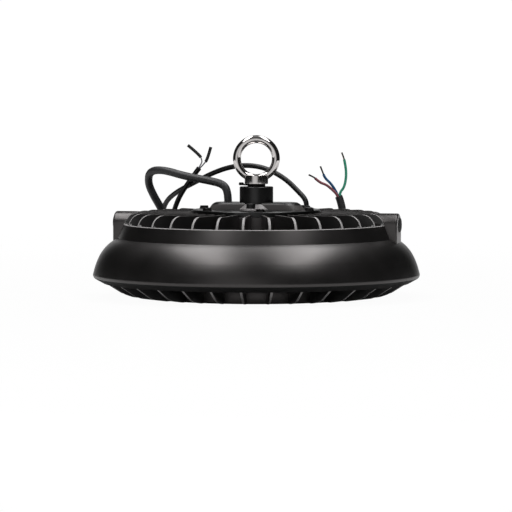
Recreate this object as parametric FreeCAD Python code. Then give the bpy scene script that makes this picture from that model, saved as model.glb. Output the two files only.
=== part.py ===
"""LED high bay light of the round, finned kind, standing on its underside.

Millimetres, +Z up. The origin is the middle of the underside, and the two side ears lie
along X. A profile is a list of points (radius, 0, height) that is turned round Z.
"""

import math
import os

import FreeCAD
import Part

V = FreeCAD.Vector
UP = V(0, 0, 1)
CENTRE = V(0, 0, 0)
CORD_STEP = math.radians(24)  # the most that a cord turns from flat to flat

SINK_HEIGHT = 74.0  # to the top of the fins and the ears

# Skirt of the heat sink: a shell whose outline climbs from the lip to the collar
LIP_HEIGHT = 12.5
SKIRT_RADIUS = 144.2  # to the sharp corner of the widest edge
SKIRT_EDGE_HEIGHT = 19.0
SKIRT_EDGE_ROUND = 4.0
LIP_INSET = 13.2  # from the widest edge in to the lip
SHOULDER_INSET = 12.5  # from the widest edge in to the shoulder
FOOT_INSET = 11.1  # from the shoulder in to the foot of the collar
COLLAR_INSET = 4.9  # how far the collar leans in
WINDOW_RISE = 10.0  # from the collar up to the top of the fins
COLLAR_RISE = 12.4
SHOULDER_RISE = 4.9  # from the shoulder up to the foot of the collar
COLLAR_HEIGHT = SINK_HEIGHT - WINDOW_RISE
FOOT_HEIGHT = COLLAR_HEIGHT - COLLAR_RISE
SHOULDER_HEIGHT = FOOT_HEIGHT - SHOULDER_RISE
SKIRT_WALL = 3.0

# Fins and core of the heat sink
FIN_COUNT = 32
FIN_THICKNESS = 2.2
FIN_BITE = 1.2  # how far a fin runs into the wall that it joins
FIN_CROWN_ROUND = 12.0
FIN_TIP_REACH = 3.0  # beyond the core, at the foot of a fin
CORE_RADIUS = 97.0
CORE_CLEARANCE = 0.3  # the casting stays this far off the floor
RIM_WALL = 3.5
SEAT_HEIGHT = 8.0
SEAT_THICKNESS = 5.0
WELL_RADIUS = 56.0
WELL_WALL = 6.5
WELL_DROP = 2.0  # from the top of the fins down to the top of the well
WELL_HEIGHT = SINK_HEIGHT - WELL_DROP
LID_MARGIN = 1.2  # from the lid out to the fins
LEAD_HOLE_RADIUS = 5.0
LEAD_HOLE_INSET = 11.5  # from the inside of the well

# Side ears with their threaded bores
EAR_WIDTH = 24.4
EAR_REACH = 10.4  # beyond the top of the collar
EAR_DEPTH = 22.0
EAR_ROUND = 5.0
EAR_EDGE_CHAMFER = 1.2
EAR_BORE = 8.5
EAR_BORE_DEPTH = 14.0
EAR_BORE_DROP = 10.0  # from the top of an ear down to its bore
EAR_BORE_HEIGHT = SINK_HEIGHT - EAR_BORE_DROP
PLUG_HEAD = 13.0
PLUG_HEAD_HEIGHT = 1.6
PLUG_BRIM = 0.9
PLUG_CLEARANCE = 0.1
PLUG_LENGTH = 8.0

# Lid of the driver well, with its bar and hanging boss
LID_THICKNESS = 4.5
BAR_LENGTH = 86.0
BAR_WIDTH = 26.0
BAR_HEIGHT = 4.9
BAR_CHAMFER = 2.8
BOSS_DIAMETER = 29.3
BOSS_HEIGHT = 19.9
BOSS_FLARE = 3.3
LID_SCREWS = 6
LID_SCREW_ANGLE = 45.0  # of the first screw
LID_SCREW_INSET = 3.4  # from the edge of the lid
LID_SCREW_RADIUS = WELL_RADIUS - LID_SCREW_INSET
LID_SCREW_DIAMETER = 4.0
LID_SCREW_HEAD = 7.0
LID_SCREW_HEAD_HEIGHT = 2.4
LID_SCREW_LENGTH = 12.0
SCREW_CLEARANCE = 0.2
VENT_OFFSET = 25.0
VENT_DIAMETER = 13.8
VENT_HEIGHT = 3.0
VENT_CAP = 7.4
VENT_CAP_HEIGHT = 3.0

# Lifting eye and its washers
THREAD_DIAMETER = 10.0
THREAD_CLEARANCE = 0.1
THREAD_LENGTH = 12.0
THREAD_RELIEF = 2.0  # from the end of the shank down to the bottom of its hole
WASHER_DIAMETER = 15.6
WASHER_HEIGHT = 2.2
TAB_THICKNESS = 0.9
TAB_REACH = 15.3
TAB_WIDTH = 3.6
TAB_RISE = 1.3
EYE_TURN = 11.25  # the ring is turned this far from the ears
EYE_COLLAR = 20.6
EYE_COLLAR_HEIGHT = 7.9
EYE_HOLE = 27.0
EYE_STOCK = 7.0
EYE_HEIGHT = 22.3  # from under the collar to the middle of the ring
EYE_FLATS = 36  # flats round the ring

# Optics on the underside
LENS_THICKNESS = 3.0
LENS_GAP = 0.4
GASKET_INSET = 4.75  # from the rim in to the corners of the gasket
GASKET_WIDTH = 5.0
GASKET_GAP = 2.0  # from the gasket in to the board
BOARD_THICKNESS = 1.6
CHIP_SIZE = 5.0
CHIP_THICKNESS = 0.8
CHIP_RINGS = ((12, 0.4), (24, 0.77))  # how many, and how far out on the board

# Driver inside the well
DRIVER_WIDTH = 52.0
DRIVER_HEIGHT = 42.0
DRIVER_CLEARANCE = 2.6  # from its corners out to the well
LEAD_DIAMETER = 2.2
LEAD_SPACING = 4.6
LEAD_EXIT = 30.0

# Cable glands in the lid: distance in from its edge and angle, then across flats, height, stem
GLAND_CLEARANCE = 0.1
MAINS_INSET = 20.02
MAINS_ANGLE = 145.07
MAINS_GLAND = (12.8, 3.8, 10.0)
DIMMER_INSET = 8.46
DIMMER_ANGLE = 33.59
DIMMER_GLAND = (9.0, 2.4, 7.0)


# Small builders


def corner(before, at, after, radius):
    """Start, middle and end of the arc that rounds one corner."""
    back = (before - at).normalize()
    ahead = (after - at).normalize()
    half = back.getAngle(ahead) / 2
    centre = at + (back + ahead).normalize() * (radius / math.sin(half))
    middle = centre + (at - centre).normalize() * radius
    reach = radius / math.tan(half)
    return at + back * reach, middle, at + ahead * reach


def rounded(points, rounds):
    """A closed outline with some corners rounded in flats: index to (radius, flats)."""
    outline = []
    for i, point in enumerate(points):
        if i not in rounds:
            outline.append(point)
            continue
        radius, flats = rounds[i]
        ahead = points[(i + 1) % len(points)]
        start, middle, end = corner(points[i - 1], point, ahead, radius)
        arc = Part.Arc(start, middle, end)
        outline += arc.toShape().discretize(flats + 1)
    return outline


def tangent_path(points, radii):
    """Points along straight runs that are joined by a tangent arc at each inner point."""
    path = [points[0]]
    for before, point, after, radius in zip(points, points[1:], points[2:], radii):
        turn = (point - before).getAngle(after - point)
        flats = math.ceil(turn / CORD_STEP)
        arc = Part.Arc(*corner(before, point, after, radius))
        path += arc.toShape().discretize(flats + 1)
    return path + [points[-1]]


def profile(pairs):
    return [V(radius, 0, height) for radius, height in pairs]


def face_of(points):
    return Part.Face(Part.makePolygon(points + points[:1]))


def turned(points):
    """The solid that a closed profile sweeps round Z."""
    return face_of(points).revolve(CENTRE, UP, 360)


def rod(diameter, start, along, sides=8):
    """A small round piece, drawn with flats so that the model stays light."""
    heading = FreeCAD.Vector(along).normalize()
    return face_of(round_section(diameter, start, heading, sides)).extrude(along)


def disc(radius, bottom, height, x=0.0, y=0.0):
    return Part.makeCylinder(radius, height, V(x, y, bottom))


def prism(width, sides, bottom, height, x=0.0, y=0.0):
    """An upright prism, width across its flats."""
    reach = width / 2 / math.cos(math.pi / sides)
    turns = [math.tau * (i + 0.5) / sides for i in range(sides)]
    ring = [V(x + reach * math.cos(a), y + reach * math.sin(a), bottom) for a in turns]
    return face_of(ring).extrude(UP * height)


def around(solid, count, first=0.0):
    """Copies of a solid, evenly turned round Z."""
    copies = []
    for i in range(count):
        copy = solid.copy()
        copy.rotate(CENTRE, UP, first + 360.0 * i / count)
        copies.append(copy)
    return copies


def inset(points, distance):
    """An open outline moved to its left, with each corner where its moved sides meet."""
    sides = [(b - a).normalize() for a, b in zip(points, points[1:])]
    normals = [V(-side.z, 0, side.x) for side in sides]
    normals = normals[:1] + normals + normals[-1:]
    steps = [(m + n) * (distance / (1 + m.dot(n))) for m, n in zip(normals, normals[1:])]
    return [point + step for point, step in zip(points, steps)]


def at_height(a, b, height):
    """Where the line through two points reaches a height."""
    return a + (b - a) * ((height - a.z) / (b.z - a.z))


def ring(centre, heading, reach, count):
    """Points evenly round a heading."""
    across = heading.cross(V(0, 1, 0) if abs(heading.y) < 0.9 else V(1, 0, 0)).normalize()
    turn = 360.0 / count
    arms = [FreeCAD.Rotation(heading, turn * (i + 0.5)).multVec(across) for i in range(count)]
    return [centre + arm * reach for arm in arms]


def round_section(diameter, centre, heading, sides):
    """A ring with flats, as large in area as the round section."""
    share = math.tau / (sides * math.sin(math.tau / sides))
    return ring(centre, heading, diameter / 2 * math.sqrt(share), sides)


def flat_sided(rings, closed=False):
    """The solid with flat sides between rings of points, which may close on themselves."""
    pairs = list(zip(rings, rings[1:]))
    if closed:
        pairs.append((rings[-1], rings[0]))
        faces = []
    else:
        faces = [face_of(rings[0]), face_of(rings[-1])]
    for near, far in pairs:
        faces += [face_of([near[i - 1], near[i], far[i], far[i - 1]]) for i in range(len(near))]
    solid = Part.Solid(Part.Shell(faces))
    return solid if solid.Volume > 0 else solid.reversed()


def tube(path, diameter, sides):
    """A plain tube with flats, mitred at each point of its path."""
    headings = [(b - a).normalize() for a, b in zip(path, path[1:])]
    rings = [round_section(diameter, path[0], headings[0], sides)]
    for at, back, ahead in zip(path[1:], headings, headings[1:] + headings[-1:]):
        mitre = back + ahead
        rings.append([p + back * ((at - p).dot(mitre) / back.dot(mitre)) for p in rings[-1]])
    return flat_sided(rings)


def cord(name, points, diameter, sides=6):
    """A tube whose arcs are as large as their runs allow."""
    radii = []
    for before, point, after in zip(points, points[1:], points[2:]):
        back = before - point
        ahead = after - point
        half_turn = (math.pi - back.getAngle(ahead)) / 2
        radii.append(0.45 * min(back.Length, ahead.Length) / math.tan(half_turn))
    path = tangent_path(points, radii)
    solid = tube(path, diameter, sides)
    length = sum(a.distanceToPoint(b) for a, b in zip(path, path[1:]))
    section = math.pi * diameter**2 / 4
    sizes = " ".join(f"{radius:.0f}" for radius in radii)
    print(f"{name}: length {length:.0f}, volume {solid.Volume / section / length:.3f}"
          f" of section by length, radii {sizes}")
    return solid


# Heat sink, one casting


def skirt_outline():
    """Outer corners of the skirt, from the lip up to the top of the collar."""
    shoulder = SKIRT_RADIUS - SHOULDER_INSET
    foot = shoulder - FOOT_INSET
    return profile([
        (SKIRT_RADIUS - LIP_INSET, LIP_HEIGHT),
        (SKIRT_RADIUS, SKIRT_EDGE_HEIGHT),
        (shoulder, SHOULDER_HEIGHT),
        (foot, FOOT_HEIGHT),
        (foot - COLLAR_INSET, COLLAR_HEIGHT),
    ])


def skirt_wall(depth):
    """The outline moved in by a depth, with the round shoulder cut straight."""
    lip, edge, shoulder, foot, top = skirt_outline()
    start = corner(edge, shoulder, foot, shoulder_round())[0]
    wall = inset([lip, edge, start, foot, top], depth)
    return wall[:-1] + [at_height(wall[-2], wall[-1], COLLAR_HEIGHT)]


def shoulder_round():
    """Radius of the shoulder, whose round ends at the foot of the collar."""
    _, edge, shoulder, foot, _ = skirt_outline()
    reach = foot - shoulder
    return reach.Length * math.tan(reach.getAngle(edge - shoulder) / 2)


def skirt():
    """Turned outside, with a flat inside between each two fins."""
    outline = skirt_outline()
    base = V(0, 0, outline[0].z)
    peak = V(0, 0, outline[-1].z)
    rounds = {2: (SKIRT_EDGE_ROUND, 2), 3: (shoulder_round(), 2)}
    outside = turned(rounded([base] + outline + [peak], rounds))
    wall = skirt_wall(SKIRT_WALL)
    levels = [wall[0] - V(0, 0, SKIRT_WALL + 1)] + wall + [wall[-1] + UP]
    flats = 1 / math.cos(math.pi / FIN_COUNT)
    hollow = flat_sided([ring(V(0, 0, p.z), UP, p.x * flats, FIN_COUNT) for p in levels])
    return outside.cut(hollow)


def fin():
    """One fin in the plane Y = 0, its ends inside the walls that it joins."""
    middle = skirt_wall(SKIRT_WALL - FIN_BITE)
    top = middle[-1]
    crown = at_height(middle[-2], top, SINK_HEIGHT)
    seat_middle = SEAT_HEIGHT + SEAT_THICKNESS / 2
    rim_middle = CORE_RADIUS - RIM_WALL / 2
    well_middle = WELL_RADIUS - WELL_WALL / 2
    points = profile([
        (WELL_RADIUS + LID_MARGIN, SINK_HEIGHT),
        (WELL_RADIUS + LID_MARGIN, WELL_HEIGHT),
        (well_middle, WELL_HEIGHT),
        (well_middle, seat_middle),
        (rim_middle, seat_middle),
        (rim_middle, CORE_CLEARANCE),
        (CORE_RADIUS + FIN_TIP_REACH, CORE_CLEARANCE),
    ])
    points += middle[:-1] + [crown]
    outline = rounded(points, {len(points) - 1: (FIN_CROWN_ROUND, 3)})
    plate = face_of(outline).extrude(V(0, FIN_THICKNESS, 0))
    plate.translate(V(0, -FIN_THICKNESS / 2, 0))
    return plate


def well_inside():
    return WELL_RADIUS - WELL_WALL


def lead_hole_offset():
    return well_inside() - LEAD_HOLE_INSET


def core():
    """Seat of the LED board with its rim, and the driver well on top."""
    seat_top = SEAT_HEIGHT + SEAT_THICKNESS
    return turned(profile([
        (0, SEAT_HEIGHT),
        (rim_inside(), SEAT_HEIGHT),
        (rim_inside(), CORE_CLEARANCE),
        (CORE_RADIUS, CORE_CLEARANCE),
        (CORE_RADIUS, seat_top),
        (WELL_RADIUS, seat_top),
        (WELL_RADIUS, WELL_HEIGHT),
        (well_inside(), WELL_HEIGHT),
        (well_inside(), seat_top),
        (0, seat_top),
    ]))


def ear_end():
    return skirt_outline()[-1].x + EAR_REACH


def ear():
    """The ear on the +X side; its foot ends inside the wall of the skirt."""
    end = ear_end()
    foot = FOOT_HEIGHT - SKIRT_WALL - EAR_REACH / 4
    points = profile([
        (end - EAR_DEPTH, foot),
        (end, foot),
        (end, SINK_HEIGHT),
        (end - EAR_DEPTH, SINK_HEIGHT),
    ])
    block = face_of(rounded(points, {2: (EAR_ROUND, 3)})).extrude(V(0, EAR_WIDTH, 0))
    block.translate(V(0, -EAR_WIDTH / 2, 0))
    rim = [edge for edge in block.Edges
           if abs(abs(edge.CenterOfMass.y) - EAR_WIDTH / 2) < 1e-6
           and edge.CenterOfMass.x > end - EAR_ROUND]
    return block.makeChamfer(EAR_EDGE_CHAMFER, rim)


def ear_bore():
    start = V(ear_end() - EAR_BORE_DEPTH, 0, EAR_BORE_HEIGHT)
    return rod(EAR_BORE, start, V(EAR_BORE_DEPTH + 1, 0, 0), 12)


def heat_sink():
    fins = around(fin(), FIN_COUNT, 180.0 / FIN_COUNT)
    casting = core().fuse([skirt()] + fins + around(ear(), 2))
    holes = around(ear_bore(), 2) + lid_screw_shanks(LID_SCREW_DIAMETER, WELL_HEIGHT)
    lead_hole = rod(2 * LEAD_HOLE_RADIUS, V(0, lead_hole_offset(), SEAT_HEIGHT),
                    UP * SEAT_THICKNESS, 12)
    return casting.cut(holes + [lead_hole]).removeSplitter()


# Lid and what stands on it


def lid_top():
    return WELL_HEIGHT + LID_THICKNESS


def boss_top():
    return lid_top() + BOSS_HEIGHT


def lid_screw_shanks(diameter, top):
    """Shanks of the lid screws, or holes for them, up to a height."""
    bottom = lid_top() - LID_SCREW_LENGTH
    shank = rod(diameter, V(LID_SCREW_RADIUS, 0, bottom), UP * (top - bottom))
    return around(shank, LID_SCREWS, LID_SCREW_ANGLE)


def raised_bar():
    """Long bar with round ends and a bevelled top edge."""
    radius = BAR_WIDTH / 2
    middle = BAR_LENGTH / 2 - radius
    bar = Part.makeBox(2 * middle, BAR_WIDTH, BAR_HEIGHT, V(-middle, -radius, lid_top()))
    bar = bar.fuse([disc(radius, lid_top(), BAR_HEIGHT, side * middle) for side in (-1, 1)])
    bar = bar.removeSplitter()
    top = [e for e in bar.Edges if e.BoundBox.ZMin > lid_top() + BAR_HEIGHT / 2]
    return bar.makeChamfer(BAR_CHAMFER, top)


def driver_cover():
    boss = BOSS_DIAMETER / 2
    plate = turned(profile([
        (0, WELL_HEIGHT),
        (WELL_RADIUS, WELL_HEIGHT),
        (WELL_RADIUS, lid_top()),
        (boss + BOSS_FLARE, lid_top()),
        (boss, lid_top() + BAR_HEIGHT),
        (boss, boss_top()),
        (0, boss_top()),
    ]))
    holes = lid_screw_shanks(LID_SCREW_DIAMETER + 2 * SCREW_CLEARANCE, lid_top())
    holes.append(rod(THREAD_DIAMETER + 2 * THREAD_CLEARANCE, V(0, 0, boss_top()),
                     V(0, 0, -THREAD_LENGTH - THREAD_RELIEF), 16))
    for place, (flats, height, stem) in ((mains_place(), MAINS_GLAND), (dimmer_place(), DIMMER_GLAND)):
        foot = place - UP * LID_THICKNESS
        holes.append(rod(stem + 2 * GLAND_CLEARANCE, foot, UP * LID_THICKNESS))
    return plate.fuse(raised_bar()).cut(holes).removeSplitter()


def cover_screws():
    """Hexagon screws of the lid."""
    head = prism(LID_SCREW_HEAD, 6, lid_top(), LID_SCREW_HEAD_HEIGHT, LID_SCREW_RADIUS)
    heads = around(head, LID_SCREWS, LID_SCREW_ANGLE)
    shanks = lid_screw_shanks(LID_SCREW_DIAMETER, lid_top())
    return Part.makeCompound([a.fuse(b) for a, b in zip(heads, shanks)])


def vent_plug():
    """Breather: a low boss with a small cap."""
    foot = V(0, -VENT_OFFSET, lid_top())
    boss = rod(VENT_DIAMETER, foot, UP * VENT_HEIGHT, 16)
    return boss.fuse(rod(VENT_CAP, foot, UP * (VENT_HEIGHT + VENT_CAP_HEIGHT), 12))


def lid_place(inset_from_edge, angle):
    """A place on top of the lid."""
    turn = math.radians(angle)
    reach = WELL_RADIUS - inset_from_edge
    return V(reach * math.cos(turn), reach * math.sin(turn), lid_top())


def mains_place():
    return lid_place(MAINS_INSET, MAINS_ANGLE)


def dimmer_place():
    return lid_place(DIMMER_INSET, DIMMER_ANGLE)


def gland(place, sizes):
    """Low hexagonal cable gland with its stem in the lid."""
    flats, height, stem = sizes
    nut = prism(flats, 6, place.z, height, place.x, place.y)
    return nut.fuse(rod(stem, place, UP * -LID_THICKNESS)).removeSplitter()


def gland_mouth(place, sizes):
    return place + UP * sizes[1]


# Lifting eye


def tab_washer():
    """Washer whose thin tongue stands out on the -X side and bends up."""
    seat = eye_seat()
    bottom = seat - TAB_THICKNESS
    root = -WASHER_DIAMETER / 2 + 1
    bend = -EYE_COLLAR / 2 - TAB_THICKNESS
    tongue = face_of(profile([
        (root, bottom),
        (bend, bottom),
        (-TAB_REACH, bottom + TAB_RISE),
        (-TAB_REACH, seat + TAB_RISE),
        (bend, seat),
        (root, seat),
    ])).extrude(V(0, TAB_WIDTH, 0))
    tongue.translate(V(0, -TAB_WIDTH / 2, 0))
    foot = V(0, 0, boss_top())
    ring = rod(WASHER_DIAMETER, foot, UP * WASHER_HEIGHT, 24).fuse(tongue)
    bore = rod(THREAD_DIAMETER + 2 * THREAD_CLEARANCE, foot, UP * WASHER_HEIGHT, 16)
    washer = ring.cut(bore).removeSplitter()
    washer.rotate(CENTRE, UP, EYE_TURN)
    return washer


def eye_seat():
    return boss_top() + WASHER_HEIGHT


def eye_bolt():
    """Forged ring on a round collar, with its threaded shank."""
    seat = eye_seat()
    collar = rod(EYE_COLLAR, V(0, 0, seat), UP * EYE_COLLAR_HEIGHT, 24)
    shank = rod(THREAD_DIAMETER, V(0, 0, seat), V(0, 0, boss_top() - THREAD_LENGTH - seat), 16)
    centre = V(0, 0, seat + EYE_HEIGHT)
    section = round_section(EYE_STOCK, centre + V((EYE_HOLE + EYE_STOCK) / 2, 0, 0), UP, 8)
    turns = [FreeCAD.Rotation(V(0, 1, 0), 360.0 * (i + 0.5) / EYE_FLATS) for i in range(EYE_FLATS)]
    rings = [[centre + turn.multVec(point - centre) for point in section] for turn in turns]
    hoop = flat_sided(rings, closed=True)
    bolt = collar.fuse([shank, hoop])
    bolt.rotate(CENTRE, UP, EYE_TURN)
    return bolt.removeSplitter()


def side_plugs():
    """Black plugs in the bores of the two ears."""
    face = V(ear_end(), 0, EAR_BORE_HEIGHT)
    shank = rod(EAR_BORE - 2 * PLUG_CLEARANCE, face, V(-PLUG_LENGTH, 0, 0), 12)
    brim = rod(PLUG_HEAD, face, V(PLUG_BRIM, 0, 0), 16)
    crown = rod(PLUG_HEAD - 2 * PLUG_BRIM, face, V(PLUG_HEAD_HEIGHT, 0, 0), 16)
    return around(shank.fuse([brim, crown]).removeSplitter(), 2)


# Inside and underside


def rim_inside():
    return CORE_RADIUS - RIM_WALL


def gasket_outside():
    """Across the flats of the eight sides of the gasket."""
    return 2 * (rim_inside() - GASKET_INSET) * math.cos(math.pi / 8)


def board_width():
    """Across the flats of the eight sides of the board."""
    return gasket_outside() - 2 * (GASKET_WIDTH + GASKET_GAP)


def led_board():
    return prism(board_width(), 8, SEAT_HEIGHT - BOARD_THICKNESS, BOARD_THICKNESS)


def led_packages():
    bottom = SEAT_HEIGHT - BOARD_THICKNESS - CHIP_THICKNESS
    chips = []
    for count, share in CHIP_RINGS:
        radius = share * board_width() / 2
        chip = Part.makeBox(CHIP_SIZE, CHIP_SIZE, CHIP_THICKNESS,
                            V(radius - CHIP_SIZE / 2, -CHIP_SIZE / 2, bottom))
        chips += around(chip, count)
    return Part.makeCompound(chips)


def lens_plate():
    return disc(rim_inside() - LENS_GAP, 0, LENS_THICKNESS)


def lens_gasket():
    """Eight-sided frame of silicone round the board."""
    outside = gasket_outside()
    height = SEAT_HEIGHT - LENS_THICKNESS
    frame = prism(outside, 8, LENS_THICKNESS, height)
    return frame.cut(prism(outside - 2 * GASKET_WIDTH, 8, LENS_THICKNESS, height))


def led_driver():
    """Closed box as long as the round well takes."""
    floor = SEAT_HEIGHT + SEAT_THICKNESS
    reach = well_inside() - DRIVER_CLEARANCE
    length = 2 * math.sqrt(reach**2 - (DRIVER_WIDTH / 2)**2)
    return Part.makeBox(length, DRIVER_WIDTH, DRIVER_HEIGHT, V(-length / 2, -DRIVER_WIDTH / 2, floor))


def driver_leads():
    """Two leads from the side of the driver down to the LED board."""
    leads = []
    for side in (-1, 1):
        x = side * LEAD_SPACING / 2
        across = rod(LEAD_DIAMETER, V(x, DRIVER_WIDTH / 2, LEAD_EXIT),
                     V(0, lead_hole_offset() - DRIVER_WIDTH / 2, 0), 4)
        down = rod(LEAD_DIAMETER, V(x, lead_hole_offset(), SEAT_HEIGHT),
                   UP * (LEAD_EXIT - SEAT_HEIGHT), 4)
        leads.append(across.fuse(down).removeSplitter())
    return Part.makeCompound(leads)


# Cables: straight up out of the gland, then by points chosen by hand along the real route

MAINS_DIAMETER = 7.0
MAINS_RISE = 10.7
MAINS_ROUTE = (
    (-34.6, 22.2, 101.2),
    (-49.0, 24.7, 105.7),
    (-70.5, 29.8, 107.9),
    (-91.6, 36.8, 111.2),
    (-107.6, 45.2, 109.5),
    (-111.5, 54.0, 98.5),
    (-106.3, 59.4, 86.4),
    (-100.0, 65.8, 74.6),
    (-96.4, 77.2, 59.0),
    (-85.5, 91.6, 54.6),
    (-58.8, 111.2, 54.4),
    (-22.7, 124.5, 54.3),
    (11.6, 126.2, 53.9),
    (40.3, 126.3, 50.1),
    (51.3, 128.5, 58.4),
    (55.2, 129.3, 71.8),
    (50.5, 128.3, 84.8),
)
DIMMER_DIAMETER = 4.5
DIMMER_RISE = 5.1
DIMMER_ROUTE = (
    (33.0, 30.0, 92.8),
    (24.0, 33.3, 101.0),
    (11.2, 36.9, 107.6),
    (-3.1, 41.2, 112.6),
    (-18.8, 47.2, 114.2),
    (-35.0, 53.2, 112.4),
    (-52.2, 59.0, 106.6),
    (-69.0, 66.8, 98.5),
    (-87.2, 78.5, 90.4),
    (-100.4, 90.1, 81.7),
    (-106.8, 101.1, 71.5),
    (-111.8, 111.8, 61.0),
    (-110.3, 111.1, 47.0),
    (-104.1, 100.6, 40.0),
    (-98.5, 91.0, 49.0),
    (-95.0, 86.4, 63.0),
    (-90.4, 76.8, 74.3),
    (-84.3, 71.9, 86.2),
    (-76.2, 66.4, 96.7),
    (-66.4, 63.3, 108.3),
)

# Stripped ends: cores leave the sheath side by side, then follow their own points
CORE_DIAMETER = 2.4
CORE_SPREAD = 1.6  # from the middle of the sheath out to a core
TIP_DIAMETER = 1.5
BROWN_ROUTE = ((45.4, 125.3, 90.5), (40.3, 122.2, 95.4), (34.6, 119.0, 97.3), (30.8, 117.3, 101.2))
BROWN_TIP = (25.3, 115.1, 104.4)
BLUE_ROUTE = ((47.0, 129.2, 90.8), (43.1, 127.9, 96.7), (38.0, 126.9, 101.3), (36.8, 126.6, 104.7))
BLUE_TIP = (34.0, 126.1, 112.0)
EARTH_ROUTE = ((55.8, 128.4, 93.2), (57.4, 128.7, 102.7), (56.9, 128.6, 111.7), (55.5, 128.3, 118.1))
EARTH_TIP = (53.3, 127.9, 124.5)
WIRE_DIAMETER = 1.2
WIRE_SPREAD = 0.8
SLEEVE_DIAMETER = 2.4
WIRE_ONE_ROUTE = ((-64.0, 63.7, 112.0), (-62.0, 64.1, 116.0), (-63.4, 63.9, 120.1))
SLEEVE_ONE_END = (-74.8, 61.6, 131.5)
WIRE_TWO_ROUTE = ((-62.8, 64.0, 111.7), (-59.6, 64.6, 115.9))
SLEEVE_TWO_END = (-54.6, 65.6, 129.9)


def mains_cable():
    start = gland_mouth(mains_place(), MAINS_GLAND)
    points = [start, start + UP * MAINS_RISE] + [V(*p) for p in MAINS_ROUTE]
    return cord("mains_cable", points, MAINS_DIAMETER)


def dimmer_cable():
    start = gland_mouth(dimmer_place(), DIMMER_GLAND)
    points = [start, start + UP * DIMMER_RISE] + [V(*p) for p in DIMMER_ROUTE]
    return cord("dimmer_cable", points, DIMMER_DIAMETER)


def stripped(name, sheath, count, index, spread, diameter, route):
    """One core, from the end face of its sheath."""
    heading = (V(*sheath[-1]) - V(*sheath[-2])).normalize()
    start = ring(V(*sheath[-1]), heading, spread, count)[index]
    print(name, "starts at", start)
    points = [start, start + heading * diameter] + [V(*p) for p in route]
    return cord(name, points, diameter)


def end_piece(route, end, diameter):
    """A nearly straight round piece, flush with the end face of a core."""
    start = V(*route[-1])
    heading = (start - V(*route[-2])).normalize()
    return tube([start, start + heading * diameter, V(*end)], diameter, 6)


def mains_tips():
    ends = ((BROWN_ROUTE, BROWN_TIP), (BLUE_ROUTE, BLUE_TIP), (EARTH_ROUTE, EARTH_TIP))
    return Part.makeCompound([end_piece(route, end, TIP_DIAMETER) for route, end in ends])


def dimmer_wires():
    routes = ((0, WIRE_ONE_ROUTE), (1, WIRE_TWO_ROUTE))
    return Part.makeCompound([stripped(f"dimmer_wire {i}", DIMMER_ROUTE, 2, i, WIRE_SPREAD, WIRE_DIAMETER,
                                       route) for i, route in routes])


def dimmer_sleeves():
    ends = ((WIRE_ONE_ROUTE, SLEEVE_ONE_END), (WIRE_TWO_ROUTE, SLEEVE_TWO_END))
    return Part.makeCompound([end_piece(route, end, SLEEVE_DIAMETER) for route, end in ends])


def mains_core(name, index, route):
    return stripped(name, MAINS_ROUTE, 3, index, CORE_SPREAD, CORE_DIAMETER, route)


def build():
    return {
        "heat_sink": heat_sink(),
        "driver_cover": driver_cover(),
        "cover_screws": cover_screws(),
        "vent_plug": vent_plug(),
        "mains_gland": gland(mains_place(), MAINS_GLAND),
        "dimmer_gland": gland(dimmer_place(), DIMMER_GLAND),
        "tab_washer": tab_washer(),
        "eye_bolt": eye_bolt(),
        "side_plugs": Part.makeCompound(side_plugs()),
        "led_board": led_board(),
        "led_packages": led_packages(),
        "lens_plate": lens_plate(),
        "lens_gasket": lens_gasket(),
        "led_driver": led_driver(),
        "driver_leads": driver_leads(),
        "mains_cable": mains_cable(),
        "brown_core": mains_core("brown_core", 0, BROWN_ROUTE),
        "blue_core": mains_core("blue_core", 2, BLUE_ROUTE),
        "earth_core": mains_core("earth_core", 1, EARTH_ROUTE),
        "mains_tips": mains_tips(),
        "dimmer_cable": dimmer_cable(),
        "dimmer_wires": dimmer_wires(),
        "dimmer_sleeves": dimmer_sleeves(),
    }


os.makedirs("parts", exist_ok=True)
for node, shape in build().items():
    shape.exportStep(f"parts/{node}.step")
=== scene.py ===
"""Looks of a round LED high bay light: a black die casting with fins, a bright lifting eye and two
free cables with stripped ends, standing on its lens.

Sizes are millimetres and become metres where a mesh, curve, light or camera is made. A profile is
a list of (radius, height) that is turned round Z. A third value is the round of that corner.
"""

import math

import bmesh
import bpy
from mathutils import Matrix, Vector


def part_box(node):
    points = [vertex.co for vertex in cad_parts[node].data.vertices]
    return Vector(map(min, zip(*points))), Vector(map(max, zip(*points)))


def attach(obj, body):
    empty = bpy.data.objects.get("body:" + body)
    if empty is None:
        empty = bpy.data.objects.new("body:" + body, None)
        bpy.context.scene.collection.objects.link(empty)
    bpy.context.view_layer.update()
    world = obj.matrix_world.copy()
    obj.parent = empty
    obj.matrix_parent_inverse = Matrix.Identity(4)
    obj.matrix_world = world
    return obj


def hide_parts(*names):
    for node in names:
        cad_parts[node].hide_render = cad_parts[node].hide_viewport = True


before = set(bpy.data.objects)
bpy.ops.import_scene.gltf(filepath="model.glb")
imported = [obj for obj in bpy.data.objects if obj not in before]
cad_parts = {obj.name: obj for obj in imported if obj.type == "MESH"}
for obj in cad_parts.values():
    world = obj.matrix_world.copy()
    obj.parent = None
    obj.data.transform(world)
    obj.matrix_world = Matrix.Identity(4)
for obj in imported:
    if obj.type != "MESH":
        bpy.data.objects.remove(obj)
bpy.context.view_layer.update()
MM = 0.001
CREASE = 32.0  # degrees by which a surface turns at an edge


def low(node, axis):
    """Low end of a CAD node on an axis, where 0 is X and 2 is Z, in millimetres."""
    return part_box(node)[0][axis] / MM


def high(node, axis):
    """High end of a CAD node, in the same way."""
    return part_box(node)[1][axis] / MM


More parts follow.
